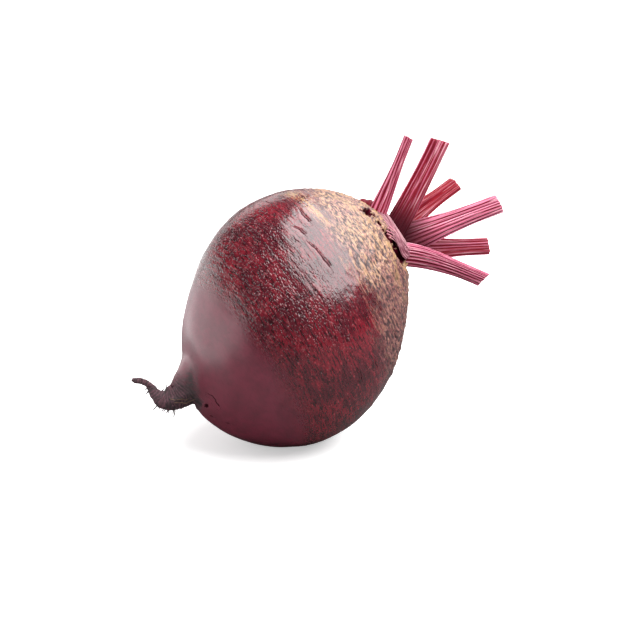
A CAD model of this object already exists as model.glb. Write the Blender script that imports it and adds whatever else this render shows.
"""A whole beetroot lying on its side: its skin, crown, tail, rootlets and cut leaf stalks.

The root's own frame has +Y along its axis towards the crown, +X and +Z across it, and its
origin in the widest section. Sizes are in millimetres there, as in the part's own drawing,
and every finished piece is in metres in the row frame.
"""

import math
from types import SimpleNamespace

import bpy
import numpy as np
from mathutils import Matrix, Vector, noise


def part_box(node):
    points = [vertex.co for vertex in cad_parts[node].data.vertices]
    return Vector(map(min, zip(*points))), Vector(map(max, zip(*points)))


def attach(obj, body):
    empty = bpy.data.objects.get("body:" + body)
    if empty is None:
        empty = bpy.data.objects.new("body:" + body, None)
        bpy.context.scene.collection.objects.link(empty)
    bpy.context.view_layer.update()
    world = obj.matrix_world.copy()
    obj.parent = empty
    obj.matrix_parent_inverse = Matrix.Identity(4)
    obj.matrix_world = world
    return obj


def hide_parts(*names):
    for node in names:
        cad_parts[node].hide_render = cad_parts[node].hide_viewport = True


bl_info = {
    "name": "Beetroot",
    "version": (1, 0, 0),
    "blender": (4, 5, 0),
    "location": "3D View > Sidebar > Beetroot",
    "description": "Grows a whole beetroot with its tail and leaf stalks round the packed part",
    "category": "Object",
}

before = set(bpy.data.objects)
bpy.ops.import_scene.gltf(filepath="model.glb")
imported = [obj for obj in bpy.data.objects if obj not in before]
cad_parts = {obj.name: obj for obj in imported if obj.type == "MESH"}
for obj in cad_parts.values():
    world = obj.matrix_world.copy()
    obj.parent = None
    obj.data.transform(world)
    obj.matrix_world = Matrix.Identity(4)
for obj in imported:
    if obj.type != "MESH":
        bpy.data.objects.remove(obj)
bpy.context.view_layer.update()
MM = 0.001

# Low lobes round the root: how many, how deep as a share of the radius, and their turn.
LOBES = [(2, 0.012, 20), (3, 0.010, 75), (5, 0.006, 10)]

# The tail's route out of the root and its radius at each stop.
TAIL_ROUTE = [
    (-2.6, -34, 0),
    (0.9, -40.6, 0),
    (0.7, -45.4, 0),
    (0, -49, 0),
    (0.2, -52.3, 0),
    (1.3, -55, 0),
    (4.4, -56.5, 0),
    (8.4, -56.6, 0.1),
    (10.8, -57.9, 0.3),
    (12.3, -59.6, 0.6),
    (13.5, -60.6, 1),
]
TAIL_RADII = [16, 9.6, 6.5, 5.2, 4.4, 3.4, 2.2, 1.3, 1.2, 1.1, 0.8]
# No skin above this height belongs to the tail.
TAIL_TOP = -33
# Golden folds in the tail's dry skin, on its side away from +Z, as places (x, y).
FOLD_LINES = [
    [(0.4, -53.8), (-1.1, -52.1), (-1.9, -50.2), (-3.1, -49.2), (-2.7, -46.7), (-2.9, -45.2)],
    [(-1.4, -53), (-2.3, -51.9), (-3.7, -49.9), (-4, -47), (-4.8, -45.7)],
]

# Each leaf stalk: its foot in the crown (x, z), its cut end (x, y, z), its width at the cut
# and at the foot, how far it bends on leaving the crown, how many ribs it has, how narrow they
# are, how pale they are, how far its cut slants, and how far out of the shade its foot is.
STALKS = [
    dict(foot=(11, -3.2), cut=(32.9, 71.8, -8.9), width=3.6, foot_width=7.6, bend=0.15)
    | dict(ribs=13, narrow=0.8, pale=0.7, slant=0.3, lit=0.62),
    dict(foot=(3.6, -1.6), cut=(26, 82.1, -7), width=7.9, foot_width=10, bend=0.6)
    | dict(ribs=11, narrow=3, pale=0.46, slant=-0.9, lit=0),
    dict(foot=(7, 10.4), cut=(9.7, 85.8, 13.5), width=5.8, foot_width=12, bend=0.3)
    | dict(ribs=9, narrow=5, pale=0.02, slant=0.4, lit=0),
    dict(foot=(4.9, 6.8), cut=(-5.5, 90.1, -2), width=7, foot_width=12.5, bend=0.3)
    | dict(ribs=15, narrow=0.5, pale=1, slant=0.2, lit=0),
    dict(foot=(7, 13.4), cut=(-16.7, 82.2, 11.3), width=6.2, foot_width=12.5, bend=0.1)
    | dict(ribs=14, narrow=0.9, pale=0.36, slant=0.3, lit=0),
    dict(foot=(0.8, -9.4), cut=(-25.2, 63.2, -16.8), width=5.4, foot_width=8.4, bend=0.9)
    | dict(ribs=20, narrow=0.8, pale=0.95, slant=1, lit=0.74),
]
STALK_FOOT_Y = 39.5
STALK_RISE = 9
STALK_THICKNESS = 0.86
STALK_FOOT_SWELL = 1.15
STALK_RIB_DEPTH = 0.075
STALK_CHANNEL_DEPTH = 0.25

# The pink web of skin between the feet of the first and the last stalk: its free edge and its
# foot on the crown.
WEB_EDGE = [
    (17, 49.4, -4.2),
    (13.6, 49.8, -5.2),
    (9.6, 49.3, -7),
    (5.6, 48.7, -9),
    (2.6, 48.2, -10.8),
    (0, 48, -12.2),
    (-2.4, 48, -12.8),
]
WEB_FOOT = [
    (16.4, 45.6, -7),
    (13, 44.6, -12.4),
    (9.2, 43.9, -15.6),
    (5, 43.4, -16.4),
    (1, 43, -16),
    (-2.2, 42.8, -14.8),
    (-4.8, 44.2, -13),
]
WEB_THICKNESS = 0.9

# The dry stumps of two older stalks behind the first one, each from its foot to its top.
STUMPS = [
    dict(foot=(15.5, 41, 3), top=(21.3, 50.6, 3), width=6, thickness=4.4),
    dict(foot=(16.5, 40, 3.5), top=(22.8, 49, 3.5), width=7, thickness=4.8),
]

# White fibres torn from the web, each from its root to its end.
FIBRES = [
    ((9.4, 43.2, -17.2), (6.1, 44.7, -17.4)),
    ((8.6, 41.4, -19.9), (4.9, 44.0, -17.8)),
    ((7.5, 40.8, -20.7), (4.1, 43.1, -18.2)),
    ((6.1, 40.7, -20.7), (3.3, 42.6, -18.6)),
    ((9.3, 44.7, -16.0), (5.5, 45.4, -16.8)),
]

# The longest rootlets on the tail, each from its root to its end.
ROOTLETS = [
    ((1.2, -57, 0), (0.1, -60.8, 0)),
    ((-1, -55.6, 0), (-1.7, -58, 0)),
    ((-1.4, -55.4, -0.5), (-2, -57.7, -0.5)),
    ((-2.2, -55, 0), (-3.1, -57, 0)),
    ((-3.2, -54, 0), (-4.6, -55.2, 0)),
    ((-3.4, -53.6, 0), (-5.5, -55.6, 0)),
    ((-2.4, -55, 0.6), (-3.6, -56.4, 0.6)),
]
SHORT_ROOTLETS = 14

# The collar of old leaf-stalk scales round the crown, and the dry flakes on it.
SCALE_COUNT = 9
SCALE_RING = dict(radius=16.4, x=6.6, y=42.2, z=1.2)
SCALE_SIZE = (1.6, 2.3, 5.2)
FLAKE_COUNT = 90

# Marks on the skin, each at a turn round the axis in degrees and a height along it.
# A crack: turn and height at both ends, and its width.
CRACKS = [
    (-64, 10.2, -80, 11.2, 0.27),
    (-52, 10.2, -59, 11.4, 0.26),
    (-43, 16.6, -54, 15.8, 0.25),
    (-56, 7.2, -61, 7.4, 0.18),
    (-77, -42.4, -104, -41.6, 0.13),
]
CRACK_DEPTH = 0.28
SMALL_CRACKS = 26
# A pit: turn, height, radius and depth.
PITS = [
    (-62.5, 39.4, 2, 3),
    (-58.5, 40.6, 0.7, 1.2),
    (-67, 38.4, 0.6, 1),
    (-77, 40.8, 0.9, 1.4),
    (-84, 40.4, 0.7, 1),
    (-94, -44.6, 0.5, 0.35),
    (-130, -44.8, 0.4, 0.25),
    (-137, -42, 0.45, 0.25),
]
# The hollow below the last stalk's clasping foot.
HOLLOW = dict(turns=(-92, -128), y=41.9, width=1.5, depth=2.6)
# The edge of the crown's cork: its height on the flanks, how much that rises to the upper side
# and falls to the under side, its least height, and the dip in it on the near flank.
CORK_EDGE = dict(flank=18, rise=7, fall=10, least=13)
CORK_DIP = dict(turn=-90, spread=18, depth=3.5)
# A patch of cork away from the crown: turn, height and size.
CORK_PATCH = dict(turn=-26, y=21, spread=6)
# A ring of golden streaks below the cork: the turns it runs between, its height and width.
GOLD_RING = dict(turns=(-66, -14), y=20.5, width=1.8)
# The swelling on the tail's upper side, and the dark bruise beside it: turn, height, size.
TAIL_SWELLING = dict(turn=-12, y=-38.2, spread=6, height=1.1)
BRUISE = dict(turn=-38, y=-44.8, spread=4.3)

# Where the tail leaves the root: the share of its route, how far each way that is smoothed, the
# tail's radii within which it is, and the rounds of smoothing.
JUNCTION = dict(share=0.15, spread=0.09, near=1.6, far=2.8, rounds=170)

# The studio, in metres: half the floor's side, how bright the room is, and in reflections, and
# each light's place from the root's middle and its size. The side light's height is above the
# floor.
FLOOR_REACH = 3.0
ROOM = 0.46
ROOM_REFLECTED = 0.05
KEY = dict(place=(0.5, -0.19, 0.55), size=(1.24, 1.36))
SIDE = dict(place=(-0.16, 0.085), size=(0.32, 0.12), height=0.06)
BACK = dict(place=(0.45, 1.1, 0.46), size=(1.3, 0.5))
RIM = dict(place=(-0.12, 1.1, 0.08), size=(0.5, 0.24))


class BeetrootShape(bpy.types.PropertyGroup):
    """Sizes of the root and its skin."""

    root_radius: bpy.props.FloatProperty(
        name="Root radius", description="At the widest section", default=42.2 * MM, unit="LENGTH"
    )
    crown_reach: bpy.props.FloatProperty(
        name="Crown reach", description="From the widest section to the crown",
        default=49.5 * MM, unit="LENGTH",
    )
    tail_reach: bpy.props.FloatProperty(
        name="Tail reach", description="From the widest section to the tail's pole",
        default=46.5 * MM, unit="LENGTH",
    )
    crown_bluntness: bpy.props.FloatProperty(
        name="Crown bluntness", description="0.5 is round, and more is more pointed", default=0.63
    )
    tail_bluntness: bpy.props.FloatProperty(
        name="Tail bluntness", description="0.5 is round, and more is more pointed", default=0.67
    )
    lean: bpy.props.FloatProperty(
        name="Lean", description="How far each section sits off the axis, per unit along it",
        default=0.18,
    )
    tilt: bpy.props.FloatProperty(
        name="Tilt", description="The crown end's rise above level",
        default=math.radians(25), subtype="ANGLE",
    )
    roll: bpy.props.FloatProperty(
        name="Roll", description="The root's turn about its own axis",
        default=math.radians(28), subtype="ANGLE",
    )
    tail_tip: bpy.props.FloatProperty(
        name="Tail tip", description="How far the tail's tip lies from the widest section",
        default=60.1 * MM, unit="LENGTH",
    )
    skin_step: bpy.props.FloatProperty(
        name="Skin step", description="Size of the skin mesh's cells",
        default=0.55 * MM, unit="LENGTH",
    )
    seed: bpy.props.IntProperty(name="Seed", description="Seed of every random draw", default=7)


class BeetrootColours(bpy.types.PropertyGroup):
    """Colours of the skin and the stalks."""

    skin_deep: bpy.props.FloatVectorProperty(
        name="Deep skin", description="Maroon of the girth",
        size=3, subtype="COLOR", default=(0.080, 0.006, 0.013),
    )
    skin_red: bpy.props.FloatVectorProperty(
        name="Red skin", description="Crimson of the shoulders",
        size=3, subtype="COLOR", default=(0.180, 0.008, 0.018),
    )
    skin_tailward: bpy.props.FloatVectorProperty(
        name="Tailward skin", description="Smooth skin by the tail",
        size=3, subtype="COLOR", default=(0.180, 0.014, 0.038),
    )
    cork_tan: bpy.props.FloatVectorProperty(
        name="Tan cork", description="Corky skin of the crown",
        size=3, subtype="COLOR", default=(0.30, 0.166, 0.088),
    )
    cork_pink: bpy.props.FloatVectorProperty(
        name="Pink cork", description="Paler, pinker cork",
        size=3, subtype="COLOR", default=(0.27, 0.116, 0.099),
    )
    cork_stain: bpy.props.FloatVectorProperty(
        name="Stained cork", description="Red showing through the cork",
        size=3, subtype="COLOR", default=(0.16, 0.040, 0.042),
    )
    cork_gold: bpy.props.FloatVectorProperty(
        name="Golden cork", description="Streaks and collar of the cork",
        size=3, subtype="COLOR", default=(0.40, 0.23, 0.085),
    )
    fleck: bpy.props.FloatVectorProperty(
        name="Fleck", description="Pale flecks on the girth",
        size=3, subtype="COLOR", default=(0.43, 0.065, 0.075),
    )
    crack: bpy.props.FloatVectorProperty(
        name="Crack", description="Cracks, pits and hollows",
        size=3, subtype="COLOR", default=(0.050, 0.003, 0.009),
    )
    bruise: bpy.props.FloatVectorProperty(
        name="Bruise", description="Grey patch by the tail",
        size=3, subtype="COLOR", default=(0.030, 0.024, 0.024),
    )
    tail_skin: bpy.props.FloatVectorProperty(
        name="Tail skin", description="Dry skin of the tail",
        size=3, subtype="COLOR", default=(0.068, 0.021, 0.031),
    )
    tail_fold: bpy.props.FloatVectorProperty(
        name="Tail fold", description="Golden edges of the folds",
        size=3, subtype="COLOR", default=(0.20, 0.10, 0.06),
    )
    stalk_flat: bpy.props.FloatVectorProperty(
        name="Stalk flat", description="Crimson between narrow ribs",
        size=3, subtype="COLOR", default=(0.30, 0.010, 0.022),
    )
    stalk_groove: bpy.props.FloatVectorProperty(
        name="Stalk groove", description="Dark lines between broad ribs",
        size=3, subtype="COLOR", default=(0.16, 0.006, 0.022),
    )
    stalk_rib: bpy.props.FloatVectorProperty(
        name="Stalk rib", description="Pink of the ribs",
        size=3, subtype="COLOR", default=(0.74, 0.20, 0.32),
    )
    stalk_thread: bpy.props.FloatVectorProperty(
        name="Stalk thread", description="Fine pale threads",
        size=3, subtype="COLOR", default=(0.90, 0.48, 0.56),
    )
    stalk_foot: bpy.props.FloatVectorProperty(
        name="Stalk foot", description="Dark crimson at the feet",
        size=3, subtype="COLOR", default=(0.045, 0.003, 0.008),
    )
    web_flesh: bpy.props.FloatVectorProperty(
        name="Web flesh", description="Lilac flesh of the web",
        size=3, subtype="COLOR", default=(0.25, 0.085, 0.115),
    )
    web_line: bpy.props.FloatVectorProperty(
        name="Web line", description="Dark lines in the web",
        size=3, subtype="COLOR", default=(0.10, 0.014, 0.028),
    )
    web_pale: bpy.props.FloatVectorProperty(
        name="Web pale", description="Pale strands and edge of the web",
        size=3, subtype="COLOR", default=(0.42, 0.22, 0.24),
    )
    cut_face: bpy.props.FloatVectorProperty(
        name="Cut face", description="Pale flesh of a cut end",
        size=3, subtype="COLOR", default=(0.56, 0.29, 0.30),
    )


class BeetrootStage(bpy.types.PropertyGroup):
    """The camera, the floor and the lights."""

    azimuth: bpy.props.FloatProperty(
        name="Azimuth", description="The camera's turn round the part",
        default=math.radians(-26), subtype="ANGLE",
    )
    elevation: bpy.props.FloatProperty(
        name="Elevation", description="The camera's height above level",
        default=math.radians(18), subtype="ANGLE",
    )
    distance: bpy.props.FloatProperty(
        name="Distance", description="From the camera to the root's middle",
        default=0.64, unit="LENGTH",
    )
    lens: bpy.props.FloatProperty(
        name="Lens", description="Focal length in millimetres", default=100
    )
    aside: bpy.props.FloatProperty(
        name="Aim aside", description="How far right of the root's middle it aims",
        default=9.7 * MM, unit="LENGTH",
    )
    key_power: bpy.props.FloatProperty(
        name="Key light", description="Overhead softbox", default=20.6, unit="POWER"
    )
    side_power: bpy.props.FloatProperty(
        name="Side light", description="Low panel at the left", default=0.185, unit="POWER"
    )
    back_power: bpy.props.FloatProperty(
        name="Back light", description="Panel behind", default=3, unit="POWER"
    )
    rim_power: bpy.props.FloatProperty(
        name="Rim light", description="Low panel behind", default=0.32, unit="POWER"
    )
    paper: bpy.props.FloatProperty(
        name="Paper", description="Whiteness of the floor that is seen", default=0.9
    )
    paper_reflected: bpy.props.FloatProperty(
        name="Paper reflected", description="Whiteness of the floor in reflections", default=0.12
    )
    paper_bounce: bpy.props.FloatProperty(
        name="Paper bounce", description="Whiteness of the floor in the light it throws back",
        default=0.4,
    )
    paper_lift: bpy.props.FloatProperty(
        name="Paper lift", description="Glow of the floor that is seen", default=0.45
    )


def smoothstep(low, high, value):
    """0 below low, 1 above high, and an even curve between them."""
    share = np.clip((value - low) / (high - low), 0, 1)
    return share * share * (3 - 2 * share)


def noise_at(points, scale):
    """Smooth noise from -1 to 1 at an array of points, each axis scaled."""
    return np.array([noise.noise(p) for p in (points * np.array(scale)).tolist()])


def rough_noise_at(points, scale, octaves):
    """Fractal noise, about -1 to 1, at an array of points."""
    return np.array([noise.fractal(p, 0.8, 2.1, octaves) for p in (points * np.array(scale)).tolist()])


def spline(stops, count):
    """count points along a smooth curve through the stops, evenly spaced in the stops."""
    stops = np.array(stops, float)
    padded = np.vstack([2 * stops[0] - stops[1], stops, 2 * stops[-1] - stops[-2]])
    at = np.linspace(0, len(stops) - 1, count)
    index = np.minimum(at.astype(int), len(stops) - 2)
    t = (at - index)[:, None]
    a, b, c, d = (padded[index + k] for k in range(4))
    return 0.5 * (2 * b + (c - a) * t + (2 * a - 5 * b + 4 * c - d) * t**2 + (3 * b - a - 3 * c + d) * t**3)


def unit(vectors):
    """Vectors along the last axis, each with length 1."""
    return vectors / np.maximum(np.linalg.norm(vectors, axis=-1, keepdims=True), 1e-12)


def closed_mesh(name, rings):
    """A closed mesh from rings of points, with each end closed by a fan to its middle."""
    count, sides, _ = rings.shape
    points = np.vstack([rings.reshape(-1, 3), rings[0].mean(0), rings[-1].mean(0)])
    faces = []
    for ring in range(count - 1):
        for side in range(sides):
            after = (side + 1) % sides
            low, high = ring * sides, (ring + 1) * sides
            faces.append((low + side, low + after, high + after, high + side))
    first, last = count * sides, count * sides + 1
    top = (count - 1) * sides
    for side in range(sides):
        after = (side + 1) % sides
        faces.append((first, after, side))
        faces.append((last, top + side, top + after))
    mesh = bpy.data.meshes.new(name)
    mesh.from_pydata(points.tolist(), [], faces)
    return mesh


def store(mesh, name, values):
    """Keeps one number, or one vector, for each vertex of a mesh under a name."""
    kind, field = ("FLOAT_VECTOR", "vector") if values.ndim == 2 else ("FLOAT", "value")
    made = mesh.attributes.new(name, kind, "POINT")
    made.data.foreach_set(field, values.astype(np.float32).ravel())


def points_of(mesh):
    """A mesh's points as an array."""
    flat = np.empty(len(mesh.vertices) * 3)
    mesh.vertices.foreach_get("co", flat)
    return flat.reshape(-1, 3)


def normals_of(mesh):
    """A mesh's vertex normals as an array."""
    flat = np.empty(len(mesh.vertices) * 3)
    mesh.vertex_normals.foreach_get("vector", flat)
    return flat.reshape(-1, 3)


def show(name, mesh, material, replaced=()):
    """Puts a finished mesh, in the row frame, in the scene as a piece of the part."""
    mesh.shade_smooth()
    mesh.materials.append(material)
    piece = bpy.data.objects.new(name, mesh)
    bpy.context.scene.collection.objects.link(piece)
    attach(piece, "root")
    if replaced:
        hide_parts(*replaced)
    return piece


def lay(mesh, shape):
    """Moves a mesh from the root's frame to where the root lies in the row frame."""
    mesh.vertices.foreach_set("co", in_row(points_of(mesh), placement(shape)).ravel())
    mesh.update()


def evaluated(mesh, *modifiers, weights=()):
    """A copy of a mesh with modifiers applied, each given as (kind, settings). weights are the
    points' weights in a group named "part"."""
    holder = bpy.data.objects.new("holder", mesh)
    bpy.context.scene.collection.objects.link(holder)
    if len(weights):
        group = holder.vertex_groups.new(name="part")
        for index in np.flatnonzero(weights > 0.01).tolist():
            group.add([index], float(weights[index]), "REPLACE")
    for kind, settings in modifiers:
        modifier = holder.modifiers.new(kind, kind)
        for key, value in settings.items():
            setattr(modifier, key, value)
    seen = holder.evaluated_get(bpy.context.evaluated_depsgraph_get())
    made = bpy.data.meshes.new_from_object(seen)
    bpy.data.objects.remove(holder)
    return made


def lying_axes(shape):
    """The root frame's axes in the row frame, as the columns of a matrix."""
    tilt, roll = shape.tilt, shape.roll
    axis = np.array([math.cos(tilt), 0, math.sin(tilt)])
    upward = np.array([-math.sin(tilt), 0, math.cos(tilt)])
    level = np.array([0.0, 1, 0])
    across = upward * math.cos(roll) + level * math.sin(roll)
    behind = level * math.cos(roll) - upward * math.sin(roll)
    return np.stack([across, axis, behind], 1)


def root_rings(shape, rings=120, sides=160):
    """The swollen root as rings of points in its own frame."""
    angle = np.linspace(0.02, math.pi - 0.02, rings)[:, None]
    turn = np.linspace(0, 2 * math.pi, sides, endpoint=False)[None, :]
    share = -np.cos(angle)
    reach = np.where(share < 0, shape.tail_reach, shape.crown_reach) / MM
    bluntness = np.where(share < 0, shape.tail_bluntness, shape.crown_bluntness)
    girth = np.sin(angle) ** (2 * bluntness)
    swell = 1 + sum(depth * girth * np.cos(count * turn + math.radians(at)) for count, depth, at in LOBES)
    radius = shape.root_radius / MM * girth * swell
    y = share * reach + 0 * turn
    return np.stack([radius * np.cos(turn) + shape.lean * y, y, radius * np.sin(turn)], -1)


def tail_line(count):
    """The tail's middle line, its headings and its radii at count places along it."""
    line = spline(TAIL_ROUTE, count)
    radii = spline([(r,) for r in TAIL_RADII], count)[:, 0]
    return line, unit(np.gradient(line, axis=0)), radii


def swept_rings(line, headings, inner, thick, wide, turn, relief):
    """Rings of a section swept along a line. inner is the direction that the turn counts from."""
    inward = unit(inner - headings * (headings @ inner)[:, None])
    aside = np.cross(headings, inward)
    across = (np.cos(turn) * relief * thick[:, None])[..., None] * inward[:, None]
    return line[:, None] + across + (np.sin(turn) * relief * wide[:, None])[..., None] * aside[:, None]


def scale_rings(index):
    """One old scale of the crown's collar, as rings of points."""
    angle = np.linspace(0.1, math.pi - 0.1, 14)[:, None]
    turn = np.linspace(0, 2 * math.pi, 24, endpoint=False)[None, :]
    out, along, round_ = SCALE_SIZE
    local = np.stack(
        [
            SCALE_RING["radius"] + out * np.sin(angle) * np.cos(turn),
            SCALE_RING["y"] - along * np.cos(angle) + 0 * turn,
            round_ * np.sin(angle) * np.sin(turn),
        ],
        -1,
    )
    at = 2 * math.pi * index / SCALE_COUNT
    x = local[..., 0] * math.cos(at) - local[..., 2] * math.sin(at)
    z = local[..., 0] * math.sin(at) + local[..., 2] * math.cos(at)
    return np.stack([x + SCALE_RING["x"], local[..., 1], z + SCALE_RING["z"]], -1)


def joined(meshes, name):
    """One mesh with the points and faces of several."""
    points, faces = [], []
    for mesh in meshes:
        base = len(points)
        points.extend(points_of(mesh).tolist())
        faces.extend([tuple(base + v for v in f.vertices) for f in mesh.polygons])
        bpy.data.meshes.remove(mesh)
    mesh = bpy.data.meshes.new(name)
    mesh.from_pydata(points, [], faces)
    return mesh


def placement(shape):
    """(axes, origin) of the root's own frame in the row frame, fitted to the CAD root's box."""
    axes = lying_axes(shape)
    points = root_rings(shape).reshape(-1, 3) @ axes.T * MM
    low, high = (np.array(corner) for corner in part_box("root"))
    own_low, own_high = points.min(0), points.max(0)
    origin = np.array(
        [
            low[0] + shape.tail_tip,
            (low[1] + high[1] - own_low[1] - own_high[1]) / 2,
            high[2] - own_high[2],
        ]
    )
    return axes, origin


def in_row(points, place):
    """Points of the root's frame, in millimetres, as points of the row frame."""
    axes, origin = place
    return points @ axes.T * MM + origin


def random_cracks(seed):
    """Short fine cracks that follow the root's girth, mostly nearer the crown."""
    draw = np.random.default_rng(seed)
    made = []
    for _ in range(SMALL_CRACKS):
        turn = draw.uniform(-180, 180)
        y = draw.triangular(-14, 12, 34)
        length = draw.uniform(2, 8)
        if not (-100 < turn < -30 and y > 0):
            made.append((turn, y, turn - length, y + draw.uniform(-0.3, 0.5), draw.uniform(0.12, 0.2)))
    return made


def apart(turn, at):
    """The angle from one turn to another in degrees, from -180 to 180."""
    return (turn - at + 180) % 360 - 180


def nearest_crack(turn, y, radius, seed):
    """(signed distance to the nearest crack as a share of its width, its width) on the skin."""
    off = np.full(len(turn), 9.0)
    width = np.full(len(turn), 0.2)
    for turn_a, y_a, turn_b, y_b, wide in CRACKS + random_cracks(seed):
        near = np.flatnonzero((np.abs(apart(turn, turn_a)) < 45) & (np.abs(y - y_a) < 8))
        across = np.radians(apart(turn[near], turn_a)) * radius[near]
        run = np.radians(apart(turn_b, turn_a)) * radius[near]
        rise = y_b - y_a
        share = np.clip((across * run + (y[near] - y_a) * rise) / (run**2 + rise**2), 0, 1)
        bow = 0.22 * np.sin(math.pi * 2.3 * share + turn_a) + 0.07 * np.sin(23 * share)
        side = y[near] - y_a - share * rise - bow
        beyond = np.abs(across - share * run)
        reach = np.hypot(side, beyond) / (wide * (0.45 + 0.8 * share))
        closer = reach < np.abs(off[near])
        off[near[closer]] = (np.sign(side) * reach)[closer]
        width[near[closer]] = wide
    return off, width


def skin_places(points, shape):
    """(turn in degrees, height, radius) of points on the root, about its leaning axis."""
    aside = points[:, 0] - shape.lean * points[:, 1]
    return np.degrees(np.arctan2(points[:, 2], aside)), points[:, 1], np.hypot(aside, points[:, 2])


def girth_places(points, shape):
    """Coordinates in which a streak round the root's girth is a level line, in centimetres."""
    turn, y, radius = skin_places(points, shape)
    reach = np.where(y < 0, shape.tail_reach, shape.crown_reach) / MM
    climb = np.arctan2(y / reach, radius / (shape.root_radius / MM))
    angle = np.radians(turn)
    return np.stack([4 * np.cos(angle), 4.6 * climb, 4 * np.sin(angle)], 1)


def tail_places(points):
    """(share of the way along the tail, distance from its line, its radius there, length along
    it) of points."""
    line, headings, radii = tail_line(400)
    reach = np.r_[0, np.cumsum(np.linalg.norm(np.diff(line, axis=0), axis=1))]
    low = points[:, 1] < TAIL_TOP
    nearest = np.zeros(len(points), int)
    gap = np.full(len(points), 1e3)
    distances = np.linalg.norm(points[low][:, None] - line[None], axis=2)
    nearest[low], gap[low] = distances.argmin(1), distances.min(1)
    length = reach[nearest] + ((points - line[nearest]) * headings[nearest]).sum(1)
    return nearest / (len(line) - 1), gap, radii[nearest], length * low


def fold_lines(points):
    """How near points on the tail are to its golden folds, 1 on a fold."""
    near = np.zeros(len(points))
    facing = points[:, 2] < 0
    for line in FOLD_LINES:
        for start, end in zip(line, line[1:]):
            run = np.array(end) - start
            share = np.clip((points[:, :2] - start) @ run / (run @ run), 0, 1)
            gap = np.linalg.norm(points[:, :2] - start - share[:, None] * run, axis=1)
            near = np.maximum(near, np.exp(-((gap / 0.2) ** 2)) * facing)
    return near


def cork_cover(turn, y, radius, girth):
    """How corky the skin is, 0 to 1: the crown's cork, with a drifting edge, and one patch."""
    drift = 6 * noise_at(girth, (0.35, 0.5, 0.35)) + 3 * noise_at(girth, (0.5, 2.6, 0.5))
    facing = np.cos(np.radians(turn))
    slope = np.where(facing > 0, CORK_EDGE["rise"], CORK_EDGE["fall"])
    edge = np.maximum(CORK_EDGE["flank"] + slope * facing, CORK_EDGE["least"])
    edge -= CORK_DIP["depth"] * np.exp(-((apart(turn, CORK_DIP["turn"]) / CORK_DIP["spread"]) ** 2))
    aside = np.radians(apart(turn, CORK_PATCH["turn"])) * radius
    patch = np.hypot(aside, y - CORK_PATCH["y"]) / CORK_PATCH["spread"]
    return np.maximum(smoothstep(-9, 11, y + drift - edge), 0.75 * np.exp(-(patch**2)))


def gold_streaks(turn, y, girth):
    """How near the skin is to the ring of golden streaks, 1 on it."""
    ring = (y - GOLD_RING["y"] - 1.5 * noise_at(girth, (0.6, 0.6, 0.6))) / GOLD_RING["width"]
    first, last = GOLD_RING["turns"]
    return np.exp(-(ring**2)) * smoothstep(first, first + 14, turn) * smoothstep(last, last - 12, turn)


def crack_relief(off, width):
    """How far the skin moves out or in at a crack and its lips."""
    groove = np.exp(-((off * width / (width + 0.3)) ** 2))
    lip = np.exp(-(((np.abs(off * width) - width - 0.9) / 0.6) ** 2))
    return CRACK_DEPTH * smoothstep(0.18, 0.27, width) * (0.3 * lip - groove)


def pits_and_hollow(points, turn, y, radius):
    """(how far the skin moves out or in at its pits and its hollow, how dark they are)."""
    out = np.zeros(len(points))
    dark = np.zeros(len(points))
    ragged = 1 + 0.45 * noise_at(points, [0.6] * 3) + 0.35 * noise_at(points, [1.5] * 3)
    for at, height, size, depth in PITS:
        span = np.hypot(np.radians(apart(turn, at)) * radius, y - height) / (size * ragged)
        well = np.exp(-(span**4))
        out += depth * (0.12 * np.exp(-(((span - 1.4) / 0.4) ** 2)) - well)
        dark = np.maximum(dark, min(2 * depth, 1) * smoothstep(1.5, 1, span))
    middle, half = np.mean(HOLLOW["turns"]), abs(np.ptp(HOLLOW["turns"])) / 2
    beyond = np.maximum(np.abs(apart(turn, middle)) - half, 0) * 0.3
    climb = y - HOLLOW["y"] + 0.8 * noise_at(points, [0.3] * 3)
    trench = np.exp(-((np.hypot(beyond, climb) / HOLLOW["width"]) ** 2)) * (y > 30)
    inside = np.exp(-((beyond / 1.5) ** 2)) * smoothstep(-1.5, -0.7, climb)
    return out - HOLLOW["depth"] * trench, np.maximum(dark, inside)


def tail_swelling(turn, y):
    """How far the skin swells where the tail leaves the root."""
    around = 0.62 + 0.38 * np.cos(np.radians(turn - TAIL_SWELLING["turn"]))
    climb = (y - TAIL_SWELLING["y"]) / TAIL_SWELLING["spread"]
    return TAIL_SWELLING["height"] * around * np.exp(-(climb**2))


def bruised(points, turn, y, radius):
    """How bruised the skin is, 1 in the middle of the bruise."""
    aside = np.radians(apart(turn, BRUISE["turn"])) * (radius + 2)
    span = np.hypot(aside, 1.3 * (y - BRUISE["y"])) / BRUISE["spread"]
    return np.exp(-((span / (1 + 0.4 * noise_at(points, [0.4] * 3))) ** 2))


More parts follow.
